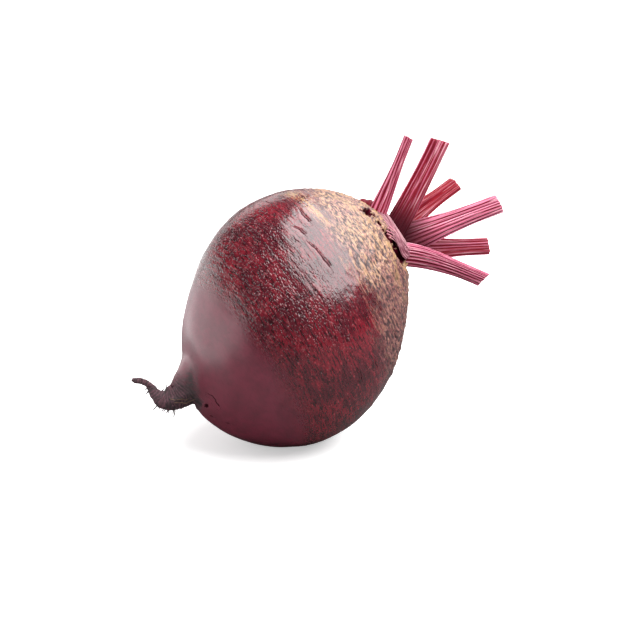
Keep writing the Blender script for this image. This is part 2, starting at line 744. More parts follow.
def carve_skin(mesh, shape):
    """Moves the root's points out and in for its lumps, cork, cracks, pits and tail folds, and
    keeps the masks that the skin's colours follow."""
    points, normals = points_of(mesh), normals_of(mesh)
    turn, y, radius = skin_places(points, shape)
    girth = girth_places(points, shape)
    along, gap, tail_radius, length = tail_places(points)
    tail = smoothstep(0.16, 0.27, along) * (gap < 1.7 * tail_radius)
    crownward = smoothstep(-31, -13, y + 4 * noise_at(girth, (0.25, 0.6, 0.25)))
    cork = cork_cover(turn, y, radius, girth)

    lines = rough_noise_at(girth, (0.8, 6.5, 0.8), 3)
    bumps = rough_noise_at(girth, (3, 6, 3), 3)
    out = 0.4 * noise_at(points, [0.045] * 3) + 0.2 * noise_at(points, [0.12] * 3)
    out *= 1 - 0.6 * tail
    out += 0.09 * lines * crownward * (1 - tail)
    out += (0.22 * np.abs(lines) + 0.3 * bumps) * cork

    off, width = nearest_crack(turn, y, radius, shape.seed)
    sunk, dark = pits_and_hollow(points, turn, y, radius)
    out += crack_relief(off, width) + sunk + tail_swelling(turn, y)

    folds = np.sin(2 * math.pi * (length / 2.4 + 0.9 * noise_at(points, [0.25] * 3)))
    seams = noise_at(points * np.array([1, 0.3, 1]), [0.5] * 3)
    slim = np.minimum(tail_radius / 3, 1)
    gold = fold_lines(points) * tail
    out += tail * slim * (0.11 * folds * (0.7 + seams) + 0.45 * seams)
    out += 0.35 * gold

    mesh.vertices.foreach_set("co", (points + normals * out[:, None]).ravel())
    store(mesh, "grown", points * 0.1)
    store(mesh, "girth", girth)
    for name, values in (
        ("cork", cork),
        ("crownward", crownward),
        ("dark", dark),
        ("tail", tail),
        ("fold", tail * folds * (0.7 + seams)),
        ("gold", gold),
        ("length", length),
        ("streak", gold_streaks(turn, y, girth)),
        ("collar", smoothstep(29, 39, y)),
        ("flecked", smoothstep(12, 1, y + 6 * noise_at(girth, (0.3, 0.8, 0.3)))),
        ("under", smoothstep(-0.05, -0.6, np.cos(np.radians(turn)))),
        ("tip", smoothstep(0.95, 0.985, along) * tail),
        ("bruise", bruised(points, turn, y, radius)),
        ("crack", off),
    ):
        store(mesh, name, values)
    mesh.update()


def add(tree, kind, inputs=None, **settings):
    """A new node, with its settings and with values or links on its inputs."""
    made = tree.nodes.new(kind)
    for key, value in settings.items():
        setattr(made, key, value)
    for key, value in (inputs or {}).items():
        if isinstance(value, bpy.types.NodeSocket):
            tree.links.new(value, made.inputs[key])
        else:
            made.inputs[key].default_value = value
    return made


def read(tree, name):
    """A number kept on the mesh under a name."""
    return add(tree, "ShaderNodeAttribute", attribute_name=name).outputs["Fac"]


def maths(tree, operation, a, b=0.0):
    """The result of one sum of two numbers."""
    return add(tree, "ShaderNodeMath", {0: a, 1: b}, operation=operation).outputs[0]


def combined(tree, operation, values):
    """Several numbers put together one after another by the same sum."""
    result = values[0]
    for value in values[1:]:
        result = maths(tree, operation, result, value)
    return result


def product(tree, *values):
    """Numbers multiplied together."""
    return combined(tree, "MULTIPLY", values)


def total(tree, *values):
    """Numbers added together."""
    return combined(tree, "ADD", values)


def highest(tree, *values):
    """The highest of some numbers."""
    return combined(tree, "MAXIMUM", values)


def ranged(tree, value, low, high, to_low=0.0, to_high=1.0):
    """A value eased from one range to another, and held at its ends."""
    inputs = {"Value": value, "From Min": low, "From Max": high, "To Min": to_low, "To Max": to_high}
    return add(tree, "ShaderNodeMapRange", inputs, interpolation_type="SMOOTHSTEP").outputs["Result"]


def blended(tree, factor, a, b):
    """Colour a turning into colour b."""
    first, second = (c if isinstance(c, bpy.types.NodeSocket) else (*c, 1) for c in (a, b))
    node = add(tree, "ShaderNodeMix", {0: factor, 6: first, 7: second}, data_type="RGBA")
    return node.outputs[2]


def times(colour, share):
    """A colour made brighter or darker."""
    return tuple(share * c for c in colour)


def grain_group():
    """A node group: noise drawn out along two axes of the skin's own coordinates."""
    name = "drawn_out_grain"
    if name in bpy.data.node_groups:
        return bpy.data.node_groups[name]
    tree = bpy.data.node_groups.new(name, "ShaderNodeTree")
    tree.interface.new_socket("Place", in_out="INPUT", socket_type="NodeSocketVector")
    tree.interface.new_socket("Draw", in_out="INPUT", socket_type="NodeSocketVector")
    for key, value in (("Scale", 5.0), ("Detail", 3.0), ("Roughness", 0.6)):
        tree.interface.new_socket(key, in_out="INPUT", socket_type="NodeSocketFloat").default_value = value
    tree.interface.new_socket("Grain", in_out="OUTPUT", socket_type="NodeSocketFloat")
    source = tree.nodes.new("NodeGroupInput").outputs
    stretched = add(tree, "ShaderNodeVectorMath", operation="MULTIPLY")
    tree.links.new(source["Place"], stretched.inputs[0])
    tree.links.new(source["Draw"], stretched.inputs[1])
    settings = {"Vector": stretched.outputs[0]}
    settings.update({key: source[key] for key in ("Scale", "Detail", "Roughness")})
    drawn = add(tree, "ShaderNodeTexNoise", settings)
    tree.links.new(drawn.outputs["Fac"], tree.nodes.new("NodeGroupOutput").inputs["Grain"])
    return tree


def grain(tree, place, draw, scale, detail=3.0, roughness=0.6):
    """One drawn-out grain in a material."""
    node = tree.nodes.new("ShaderNodeGroup")
    node.node_tree = grain_group()
    tree.links.new(place, node.inputs["Place"])
    node.inputs["Draw"].default_value = draw
    node.inputs["Scale"].default_value = scale
    node.inputs["Detail"].default_value = detail
    node.inputs["Roughness"].default_value = roughness
    return node.outputs["Grain"]


def speckle(tree, place, draw, scale):
    """(bright specks, dark specks): small spots, each 0 to 1, in the skin's own coordinates."""
    stretched = add(tree, "ShaderNodeVectorMath", {0: place, 1: draw}, operation="MULTIPLY").outputs[0]
    cells = add(tree, "ShaderNodeTexVoronoi", {"Vector": stretched, "Scale": scale})
    chance = add(tree, "ShaderNodeSeparateColor", {"Color": cells.outputs["Color"]}).outputs[0]
    spot = ranged(tree, cells.outputs["Distance"], 0.5, 0.15)
    bright = product(tree, spot, ranged(tree, chance, 0.66, 0.76))
    dark = product(tree, spot, ranged(tree, chance, 0.42, 0.32))
    return bright, dark


def new_material(name):
    """(material, node tree, its Principled shader)."""
    material = bpy.data.materials.new(name)
    material.use_nodes = True
    tree = material.node_tree
    return material, tree, tree.nodes["Principled BSDF"]


def skin_grains(tree):
    """The patterns that the root's skin is coloured and raised by."""
    place = add(tree, "ShaderNodeAttribute", attribute_name="grown").outputs["Vector"]
    girth = add(tree, "ShaderNodeAttribute", attribute_name="girth").outputs["Vector"]
    bright, black = speckle(tree, girth, (0.6, 1, 0.6), 11)
    glint, point = speckle(tree, girth, (0.75, 1, 0.75), 19)
    return SimpleNamespace(
        cloud=grain(tree, place, (1, 1, 1), 0.8, 3),
        smudge=grain(tree, place, (1, 1, 1), 1.7, 5, 0.65),
        wander=grain(tree, place, (1, 1, 1), 2.4, 5, 0.65),
        lines=grain(tree, girth, (0.13, 1, 0.13), 8, 5, 0.65),
        fine=grain(tree, girth, (0.4, 1, 0.4), 22, 3, 0.6),
        dashes=grain(tree, girth, (0.22, 1, 0.22), 17, 2, 0.5),
        stain=grain(tree, girth, (0.5, 1, 0.5), 2.6, 4, 0.6),
        knots=grain(tree, girth, (0.4, 1, 0.4), 11, 1, 0.5),
        ridges=grain(tree, girth, (0.13, 1, 0.13), 7, 1, 0.5),
        hatches=grain(tree, girth, (0.25, 1, 0.25), 15, 1, 0.5),
        bright=highest(tree, bright, product(tree, glint, 0.8)),
        black=highest(tree, black, product(tree, point, 0.8)),
        rough=ranged(tree, read(tree, "crownward"), 0.1, 0.8),
    )


def girth_skin(tree, colours, grains):
    """Maroon and crimson skin, streaked and dotted round the girth, and smooth by the tail."""
    rough = grains.rough
    smudge = ranged(tree, grains.smudge, 0.4, 0.62, 0, 0.45)
    skin = blended(tree, smudge, colours.skin_tailward, times(colours.skin_tailward, 0.55))
    skin = blended(tree, rough, skin, colours.skin_deep)
    redness = ranged(tree, total(tree, grains.cloud, grains.lines), 0.86, 1.14)
    skin = blended(tree, product(tree, redness, rough), skin, colours.skin_red)
    shade = ranged(tree, grains.dashes, 0.52, 0.62, 0, 0.85)
    shade = product(tree, shade, ranged(tree, rough, 0, 1, 0.12, 1))
    skin = blended(tree, shade, skin, times(colours.skin_deep, 0.3))
    skin = blended(tree, product(tree, grains.black, rough, 0.75), skin, colours.crack)
    rows = ranged(tree, grains.lines, 0.42, 0.6, 0.25, 1)
    return blended(tree, product(tree, grains.bright, rows, rough, 0.45), skin, colours.fleck)


def crown_bark(tree, colours, grains):
    """The crown's cork: tan and pink, stained, stippled, knotted, and golden at the collar."""
    knots, under = grains.knots, read(tree, "under")
    bark = blended(tree, ranged(tree, grains.cloud, 0.4, 0.6), colours.cork_pink, colours.cork_tan)
    bark = blended(tree, ranged(tree, grains.lines, 0.5, 0.7, 0, 0.8), bark, times(colours.cork_tan, 1.25))
    bark = blended(tree, ranged(tree, grains.stain, 0.48, 0.66, 0, 0.7), bark, colours.cork_stain)
    bark = blended(tree, product(tree, under, 0.9), bark, times(colours.cork_stain, 1.05))
    bark = blended(tree, product(tree, grains.bright, 0.75), bark, times(colours.cork_pink, 2.1))
    stipple = ranged(tree, total(tree, grains.fine, grains.dashes), 1.02, 1.18, 0, 0.85)
    stipple = highest(tree, stipple, product(tree, grains.black, 0.85))
    bark = blended(tree, stipple, bark, times(colours.cork_pink, 0.2))
    cream = product(tree, ranged(tree, knots, 0.44, 0.38), ranged(tree, under, 0, 1, 0.8, 0.25))
    bark = blended(tree, cream, bark, times(colours.cork_tan, 1.75))
    bark = blended(tree, ranged(tree, knots, 0.56, 0.59, 0, 0.95), bark, times(colours.cork_stain, 0.22))
    golden = product(tree, read(tree, "collar"), ranged(tree, grains.stain, 0.5, 0.36, 0, 0.75))
    return blended(tree, golden, bark, colours.cork_gold)


def cork_edge(tree, grains):
    """How far the skin is covered by cork, 0 to 1, with a ragged edge."""
    streaks = product(tree, maths(tree, "SUBTRACT", grains.lines, 0.5), 0.9)
    crumbs = product(tree, maths(tree, "SUBTRACT", grains.fine, 0.5), 1.1)
    return ranged(tree, total(tree, read(tree, "cork"), streaks, crumbs), 0.3, 0.95)


def ring_wrinkles(tree, grains):
    """Uneven waves along the tail, -1 to 1."""
    rise = product(tree, read(tree, "length"), 6.6)
    return maths(tree, "SINE", total(tree, rise, product(tree, grains.wander, 20)))


def dry_tail(tree, colours, grains, wave):
    """The tail's dry skin, ringed by wrinkles, with golden folds and a dark tip."""
    dull, gold = colours.tail_skin, read(tree, "gold")
    dry = blended(tree, ranged(tree, grains.fine, 0.4, 0.65), dull, times(dull, 1.9))
    dry = blended(tree, ranged(tree, grains.cloud, 0.5, 0.7, 0, 0.6), dry, colours.skin_tailward)
    dry = blended(tree, ranged(tree, wave, 0.3, 0.9, 0, 0.45), dry, times(dull, 2.4))
    dry = blended(tree, ranged(tree, wave, -0.1, -0.8, 0, 0.6), dry, times(dull, 0.3))
    dry = blended(tree, ranged(tree, read(tree, "fold"), 0.1, -0.7, 0, 0.6), dry, times(dull, 0.3))
    dry = blended(tree, ranged(tree, gold, 0.05, 0.3, 0, 0.8), dry, times(dull, 0.25))
    dry = blended(tree, ranged(tree, gold, 0.45, 0.85), dry, colours.tail_fold)
    return blended(tree, read(tree, "tip"), dry, colours.crack)


def skin_relief(tree, grains, corky, worn, wrinkles):
    """The height of the skin's fine relief."""
    rough = grains.rough
    beads = product(tree, rough, ranged(tree, read(tree, "flecked"), 0, 1, 0.15, 0.66))
    return total(
        tree,
        product(tree, maths(tree, "SUBTRACT", grains.bright, grains.black), beads),
        product(tree, grains.ridges, ranged(tree, rough, 0, 1, 0.05, 0.6)),
        product(tree, grains.hatches, ranged(tree, rough, 0, 1, 0.03, 0.4)),
        product(tree, worn, grains.fine, 1.2),
        product(tree, wrinkles, 0.35),
        product(tree, corky, grains.knots, -1.4),
    )


def root_skin(colours):
    """The root's skin: maroon and satin, streaked and dotted round its girth, corky and tan at
    the crown, smooth towards the tail, and dry on the tail itself."""
    material, tree, shader = new_material("beetroot_skin")
    grains = skin_grains(tree)
    corky, wave = cork_edge(tree, grains), ring_wrinkles(tree, grains)
    tail, dark, bruise = read(tree, "tail"), read(tree, "dark"), read(tree, "bruise")
    hole = ranged(tree, dark, 0.2, 0.7)
    crack = ranged(tree, maths(tree, "ABSOLUTE", read(tree, "crack")), 1.5, 0.6)

    skin = blended(tree, corky, girth_skin(tree, colours, grains), crown_bark(tree, colours, grains))
    streak = ranged(tree, total(tree, grains.lines, grains.fine), 0.92, 1.08)
    skin = blended(tree, product(tree, read(tree, "streak"), streak, 0.85), skin, colours.cork_gold)
    skin = blended(tree, tail, skin, dry_tail(tree, colours, grains, wave))
    patch = product(tree, bruise, ranged(tree, grains.lines, 0.4, 0.6, 0.3, 0.95))
    skin = blended(tree, patch, skin, colours.bruise)
    skin = blended(tree, product(tree, crack, 0.9), skin, colours.crack)
    skin = blended(tree, hole, skin, colours.crack)
    tree.links.new(skin, shader.inputs["Base Color"])

    worn = highest(tree, product(tree, corky, 0.8), tail, dark, crack, bruise)
    satin = ranged(tree, grains.fine, 0.3, 0.7, 0.16, 0.27)
    waxy = ranged(tree, grains.rough, 0, 1, 0.13, 0)
    tree.links.new(total(tree, satin, product(tree, worn, 0.4), waxy), shader.inputs["Roughness"])
    tree.links.new(highest(tree, hole, product(tree, crack, 0.8)), shader.inputs["Metallic"])
    shader.inputs["IOR"].default_value = 1.76
    relief = skin_relief(tree, grains, corky, worn, product(tree, tail, wave))
    bump = add(tree, "ShaderNodeBump", {"Height": relief, "Distance": 0.16 * MM, "Strength": 1})
    tree.links.new(bump.outputs["Normal"], shader.inputs["Normal"])
    return material


def stalk_skin(colours):
    """A leaf stalk's skin: pink ribs over crimson, drawn out along its length, and a pale cut
    face."""
    if "stalk_skin" in bpy.data.materials:
        return bpy.data.materials["stalk_skin"]
    material, tree, shader = new_material("stalk_skin")
    place = add(tree, "ShaderNodeAttribute", attribute_name="grown").outputs["Vector"]
    along, pale = read(tree, "along"), read(tree, "pale")
    fibre = grain(tree, place, (1, 0.05, 1), 26, 3, 0.6)
    thread = grain(tree, place, (1, 0.02, 1), 38, 2, 0.5)
    cloud = grain(tree, place, (1, 0.4, 1), 3, 2)

    risen = ranged(tree, along, 0.2, 0.6, 0.08, 1)
    tone = highest(tree, read(tree, "tone"), product(tree, pale, 0.48))
    strength = product(tree, risen, ranged(tree, tone, 0, 1, 0.3, 1.15), ranged(tree, pale, 0, 0.6, 0.2, 1))
    ridge = total(tree, read(tree, "rib"), product(tree, maths(tree, "SUBTRACT", fibre, 0.5), 0.9))
    ridge = product(tree, ranged(tree, ridge, 0.35, 0.85), strength)
    groove = blended(tree, pale, colours.stalk_flat, colours.stalk_groove)
    shade = ranged(tree, cloud, 0.35, 0.65, 0, 0.5)
    groove = blended(tree, shade, groove, times(colours.stalk_flat, 0.6))
    skin = blended(tree, ridge, groove, colours.stalk_rib)
    dark = ranged(tree, thread, 0.45, 0.36, 0, 0.6)
    skin = blended(tree, dark, skin, times(colours.stalk_groove, 0.6))
    light = product(tree, ranged(tree, thread, 0.57, 0.66), ranged(tree, pale, 0, 1, 0.35, 0.9), risen)
    skin = blended(tree, light, skin, colours.stalk_thread)
    skin = blended(tree, ranged(tree, along, 0.56, 0.25, 0, 0.96), skin, colours.stalk_foot)
    flesh = blended(tree, ranged(tree, fibre, 0.45, 0.65), colours.cut_face, colours.stalk_rib)
    skin = blended(tree, read(tree, "cut"), skin, flesh)
    tree.links.new(skin, shader.inputs["Base Color"])

    tree.links.new(ranged(tree, fibre, 0.3, 0.7, 0.32, 0.46), shader.inputs["Roughness"])
    shader.inputs["IOR"].default_value = 1.45
    shader.inputs["Specular IOR Level"].default_value = 0.16
    bump = add(tree, "ShaderNodeBump", {"Height": fibre, "Distance": 0.12 * MM, "Strength": 0.6})
    tree.links.new(bump.outputs["Normal"], shader.inputs["Normal"])
    return material


def web_skin(colours):
    """The web's fibrous flesh, drawn out along its free edge, which is paler."""
    material, tree, shader = new_material("web_skin")
    place = add(tree, "ShaderNodeAttribute", attribute_name="grown").outputs["Vector"]
    fibre = grain(tree, place, (1, 0.05, 1), 26, 3, 0.6)
    strand = total(tree, fibre, product(tree, read(tree, "rib"), 0.35))
    skin = blended(tree, ranged(tree, fibre, 0.4, 0.56), colours.web_line, colours.web_flesh)
    skin = blended(tree, ranged(tree, strand, 0.72, 0.92, 0, 0.8), skin, colours.web_pale)
    skin = blended(tree, ranged(tree, read(tree, "tone"), 0.7, 0.86, 0, 0.85), skin, colours.web_pale)
    tree.links.new(skin, shader.inputs["Base Color"])
    shader.inputs["Roughness"].default_value = 0.5
    shader.inputs["Specular IOR Level"].default_value = 0.2
    bump = add(tree, "ShaderNodeBump", {"Height": fibre, "Distance": 0.25 * MM, "Strength": 0.8})
    tree.links.new(bump.outputs["Normal"], shader.inputs["Normal"])
    return material


def mottled_skin(name, scale, detail, light, shade, roughness):
    """A dry skin mottled between two colours."""
    material, tree, shader = new_material(name)
    place = add(tree, "ShaderNodeTexCoord").outputs["Object"]
    mottle = grain(tree, place, (1, 1, 1), scale, detail)
    tree.links.new(blended(tree, ranged(tree, mottle, 0.4, 0.6), light, shade), shader.inputs["Base Color"])
    shader.inputs["Roughness"].default_value = roughness
    return material


def rootlet_skin(colours):
    """The rootlets' dry brown skin."""
    dry = colours.tail_skin
    return mottled_skin("rootlet_skin", 900, 2, dry, times(dry, 0.4), 0.7)


def flake_skin(colours):
    """The crown flakes' dry golden skin."""
    tan = colours.cork_tan
    return mottled_skin("flake_skin", 350, 3, times(tan, 1.4), times(tan, 0.5), 0.6)


def paper(stage):
    """The floor's plain pale paper, dimmer in reflections than it looks, but for its far side."""
    material, tree, shader = new_material("paper")
    ray = add(tree, "ShaderNodeLightPath").outputs
    white, dim, lift = (stage.paper,) * 3, (stage.paper_reflected,) * 3, (stage.paper_lift,) * 3
    place = add(tree, "ShaderNodeTexCoord").outputs["Object"]
    far = ranged(tree, add(tree, "ShaderNodeSeparateXYZ", {0: place}).outputs["Y"], 0.08, 0.3)
    reflected = blended(tree, far, dim, white)
    shade = blended(tree, ray["Is Diffuse Ray"], white, (stage.paper_bounce,) * 3)
    tree.links.new(blended(tree, ray["Is Glossy Ray"], shade, reflected), shader.inputs["Base Color"])
    glow = blended(tree, ray["Is Camera Ray"], (0.0, 0.0, 0.0), lift)
    tree.links.new(glow, shader.inputs["Emission Color"])
    shader.inputs["Emission Strength"].default_value = 1
    shader.inputs["Roughness"].default_value = 0.9
    shader.inputs["Specular IOR Level"].default_value = 0
    return material


def softbox(name, at, target, size, power, shape="RECTANGLE"):
    """A soft light at a place, facing a target, and not seen itself."""
    light = bpy.data.lights.new(name, "AREA")
    light.shape = shape
    light.size, light.size_y = size
    light.energy = power
    lamp = bpy.data.objects.new(name, light)
    lamp.location = at
    lamp.rotation_euler = (Vector(target) - Vector(at)).to_track_quat("-Z", "Y").to_euler()
    lamp.visible_camera = False
    bpy.context.scene.collection.objects.link(lamp)


def studio_world():
    """A dim room that looks white to the camera."""
    world = bpy.data.worlds.new("studio")
    world.use_nodes = True
    tree = world.node_tree
    ray = add(tree, "ShaderNodeLightPath").outputs
    room = blended(tree, ray["Is Glossy Ray"], (ROOM,) * 3, (ROOM_REFLECTED,) * 3)
    room = blended(tree, ray["Is Camera Ray"], room, (1.0, 1.0, 1.0))
    tree.links.new(room, tree.nodes["Background"].inputs["Color"])
    return world


class BEETROOT_OT_stage(bpy.types.Operator):
    """Set the camera, the floor and the lights"""

    bl_idname = "beetroot.stage"
    bl_label = "Stage"

    def execute(self, context):
        stage, shape = context.scene.beetroot_stage, context.scene.beetroot_shape
        _, origin = placement(shape)
        middle = Vector(origin)
        a, e = stage.azimuth, stage.elevation
        back = Vector((math.sin(a) * math.cos(e), -math.cos(a) * math.cos(e), math.sin(e)))
        right = Vector((math.cos(a), math.sin(a), 0))
        lens = bpy.data.cameras.new("camera")
        lens.lens, lens.sensor_width = stage.lens, 36
        camera = bpy.data.objects.new("camera", lens)
        camera.location = middle + back * stage.distance
        aim = middle + right * stage.aside - camera.location
        camera.rotation_euler = aim.to_track_quat("-Z", "Y").to_euler()
        context.scene.collection.objects.link(camera)
        context.scene.camera = camera

        floor_mesh = bpy.data.meshes.new("floor")
        far = FLOOR_REACH
        corners = [(-far, -far, 0), (far, -far, 0), (far, far, 0), (-far, far, 0)]
        floor_mesh.from_pydata(corners, [], [(0, 1, 2, 3)])
        floor_mesh.materials.append(paper(stage))
        floor = bpy.data.objects.new("floor", floor_mesh)
        context.scene.collection.objects.link(floor)

        over = middle + Vector(KEY["place"])
        softbox("key", over, over - Vector((0, 0, 1)), KEY["size"], stage.key_power, "ELLIPSE")
        level = Vector((middle.x, middle.y, SIDE["height"]))
        beside = level + Vector((*SIDE["place"], 0))
        softbox("side", beside, level, SIDE["size"], stage.side_power)
        softbox("back", middle + Vector(BACK["place"]), middle, BACK["size"], stage.back_power)
        softbox("rim", middle + Vector(RIM["place"]), middle, RIM["size"], stage.rim_power)
        context.scene.world = studio_world()
        context.scene.view_settings.view_transform = "Standard"
        return {"FINISHED"}


class BEETROOT_OT_root(bpy.types.Operator):
    """Grow the swollen root with its crown, its collar and its tail"""

    bl_idname = "beetroot.root"
    bl_label = "Root"

    def execute(self, context):
        shape = context.scene.beetroot_shape
        line, headings, radii = tail_line(120)
        turn = np.linspace(0, 2 * math.pi, 48, endpoint=False)[None, :]
        tail = swept_rings(line, headings, np.array([0, 0, 1.0]), radii, radii, turn, np.ones((120, 48)))
        pieces = [closed_mesh("body", root_rings(shape)), closed_mesh("tail", tail)]
        pieces += [closed_mesh("scale", scale_rings(i)) for i in range(SCALE_COUNT)]
        rough = joined(pieces, "rough_root")
        step = shape.skin_step / MM
        mesh = evaluated(
            rough,
            ("REMESH", dict(mode="VOXEL", voxel_size=step)),
            ("SMOOTH", dict(factor=0.5, iterations=6)),
        )
        along, gap, radius, _ = tail_places(points_of(mesh))
        junction = np.exp(-(((along - JUNCTION["share"]) / JUNCTION["spread"]) ** 2))
        junction *= smoothstep(JUNCTION["far"], JUNCTION["near"], gap / radius)
        smoothing = dict(factor=0.5, iterations=JUNCTION["rounds"], vertex_group="part")
        mesh = evaluated(mesh, ("SMOOTH", smoothing), weights=junction)
        mesh.name = "root_skin"
        carve_skin(mesh, shape)
        laid = in_row(points_of(mesh), placement(shape))
        laid[:, 2] = np.maximum(laid[:, 2], 0)
        mesh.vertices.foreach_set("co", laid.ravel())
        mesh.update()
        show("root_skin", mesh, root_skin(context.scene.beetroot_colours), ["root"])
        return {"FINISHED"}


def dress_stalk(mesh, count, **masks):
    """Keeps a stalk's masks on its mesh. Each is one number, or one for each ring and side, and
    the two end points take the nearest ring's."""
    for name, values in masks.items():
        values = np.broadcast_to(values, count).reshape(-1)
        store(mesh, name, np.r_[values, values[0], values[-1]])


def fibre_places(along, turn, index):
    """Coordinates that run along a stalk, apart from those of the other stalks."""
    around = np.stack(np.broadcast_arrays(0.3 * np.cos(turn), 4 * along, 0.3 * np.sin(turn)), -1)
    flat = around.reshape(-1, 3) + 5 * index
    return np.vstack([flat, flat[:1], flat[-1:]])


def held(values, count):
    """Rows of values, with the last one repeated count times."""
    return np.concatenate([values, np.repeat(values[-1:], count, 0)])


def stalk_mesh(index, shape):
    """One leaf stalk in the row frame, with the masks that its colours follow."""
    stalk = STALKS[index]
    rings, sides = 64, 144
    draw = np.random.default_rng(shape.seed + index)
    foot = np.array([stalk["foot"][0], STALK_FOOT_Y, stalk["foot"][1]])
    cut = np.array(stalk["cut"], float)
    bend = foot + 0.35 * (1 - stalk["bend"]) * (cut - foot) + np.array([0, STALK_RISE * stalk["bend"], 0])
    t = np.linspace(0, 1, rings)[:, None]
    line = (1 - t) ** 2 * foot + 2 * t * (1 - t) * bend + t**2 * cut
    headings = unit(np.gradient(line, axis=0))
    steps = np.r_[0, np.cumsum(np.linalg.norm(np.diff(line, axis=0), axis=1))]
    along = steps / steps[-1]
    inner = np.array([SCALE_RING["x"] - foot[0], 0, SCALE_RING["z"] - foot[2]])
    risen = smoothstep(0.1, 0.85, along)
    wide = (stalk["foot_width"] + (stalk["width"] - stalk["foot_width"]) * risen) / 2
    thick = STALK_THICKNESS * stalk["width"] * (STALK_FOOT_SWELL + (1 - STALK_FOOT_SWELL) * risen) / 2
    turn = np.linspace(-math.pi, math.pi, sides, endpoint=False)[None, :]
    drift = 0.16 * np.sin(2 * turn + draw.uniform(0, 6))
    drift = drift + 0.05 * np.sin(3 * along[:, None] + draw.uniform(0, 6))
    phase = stalk["ribs"] * (turn + drift)
    rib = (0.5 + 0.5 * np.cos(phase)) ** stalk["narrow"]
    each = np.round(phase / (2 * math.pi)).astype(int) % stalk["ribs"]
    tone = draw.uniform(0, 1, stalk["ribs"])[each]
    channel = 1 - STALK_CHANNEL_DEPTH * np.exp(-((turn / 0.5) ** 2))
    relief = (1 + STALK_RIB_DEPTH * (2 * rib - 1)) * channel
    swept = swept_rings(line, headings, inner, thick, wide, turn, relief)
    ragged = draw.uniform(-0.14, 0.14, stalk["ribs"])[each[-1]] + stalk["slant"] * np.sin(turn[0])
    frayed = smoothstep(0.9, 1, along)[:, None] * ragged
    swept += frayed[..., None] * headings[-1]
    ends = []
    for inset, deep in ((0.94, 0.12), (0.84, -0.1), (0.55, -0.35), (0.2, -0.4)):
        ends.append(cut + (swept[-1] - cut) * inset + headings[-1] * deep)
    mesh = closed_mesh(f"leaf_stalk_{index + 1}", np.concatenate([swept, np.array(ends)]))
    ended = np.r_[np.zeros(rings), np.ones(len(ends))][:, None]
    along, rib, tone = (held(values, len(ends)) for values in (along[:, None], rib, tone))
    height = np.maximum(along, stalk["lit"])
    count = (rings + len(ends), sides)
    dress_stalk(mesh, count, rib=rib, tone=tone, along=height, pale=stalk["pale"], cut=ended)
    store(mesh, "grown", fibre_places(along + 0.1 * np.cumsum(ended, 0), turn, index))
    lay(mesh, shape)
    return mesh


def web_mesh(shape):
    """The web of skin between the first and the last stalk's feet, in the row frame."""
    rings, sides = 60, 64
    edge, foot = spline(WEB_EDGE, rings), spline(WEB_FOOT, rings)
    turn = np.linspace(-math.pi, math.pi, sides, endpoint=False)[None, :]
    heading = unit(np.gradient(edge, axis=0))
    ends = smoothstep(0, 0.16, np.linspace(0, 1, rings)) * smoothstep(1, 0.94, np.linspace(0, 1, rings))
    half = (edge - foot) / 2
    middle = foot + half
    half = half * (0.25 + 0.75 * ends)[:, None]
    out = unit(np.cross(half, heading))
    out *= np.sign(out @ np.array([0, 0, -1.0]))[:, None]
    bulge = (np.sin(turn) + 0.8 * np.cos(turn) ** 2 - 0.5)[..., None]
    ripple = 1 + 0.3 * np.cos(13 * turn + 1.5 * np.sin(4 * np.linspace(0, 1, rings))[:, None])[..., None]
    points = middle[:, None] + np.cos(turn)[..., None] * half[:, None]
    thick = WEB_THICKNESS * (0.2 + 0.8 * ends)[:, None, None]
    points = points + thick * bulge * ripple * out[:, None]
    mesh = closed_mesh("stalk_web", points)
    along = np.linspace(0, 1, rings)[:, None]
    rib = 0.5 + 0.5 * np.cos(13 * turn)
    dress_stalk(mesh, (rings, sides), rib=rib + 0 * along, tone=0.5 + 0.4 * np.cos(turn))
    store(mesh, "grown", fibre_places(along, turn, len(STALKS)))
    lay(mesh, shape)
    return mesh


def stump_mesh(index, shape):
    """The dry stump of an older stalk, in the row frame."""
    stump = STUMPS[index]
    rings, sides = 24, 48
    foot, top = np.array(stump["foot"], float), np.array(stump["top"], float)
    along = np.linspace(0, 1, rings)
    line = foot + along[:, None] * (top - foot)
    headings = np.tile(unit(top - foot), (rings, 1))
    turn = np.linspace(-math.pi, math.pi, sides, endpoint=False)[None, :]
    taper = (1 - 0.25 * along) * np.sqrt(1 - np.clip((along - 0.8) / 0.21, 0, 1) ** 2)
    relief = 1 + 0.12 * np.cos(7 * turn) + 0.08 * np.sin(4 * turn + 5 * along[:, None])
    inner = np.array([-1.0, 0, -0.6])
    thick, wide = taper * stump["thickness"] / 2, taper * stump["width"] / 2
    points = swept_rings(line, headings, inner, thick, wide, turn, relief)
    mesh = closed_mesh(f"old_stump_{index + 1}", points)
    dress_stalk(mesh, (rings, sides), rib=0.5 + 0.5 * np.cos(7 * turn), tone=0.2, along=0.42, pale=0.3, cut=0)
    store(mesh, "grown", fibre_places(along[:, None], turn, len(STALKS) + 1 + index))
    lay(mesh, shape)
    return mesh


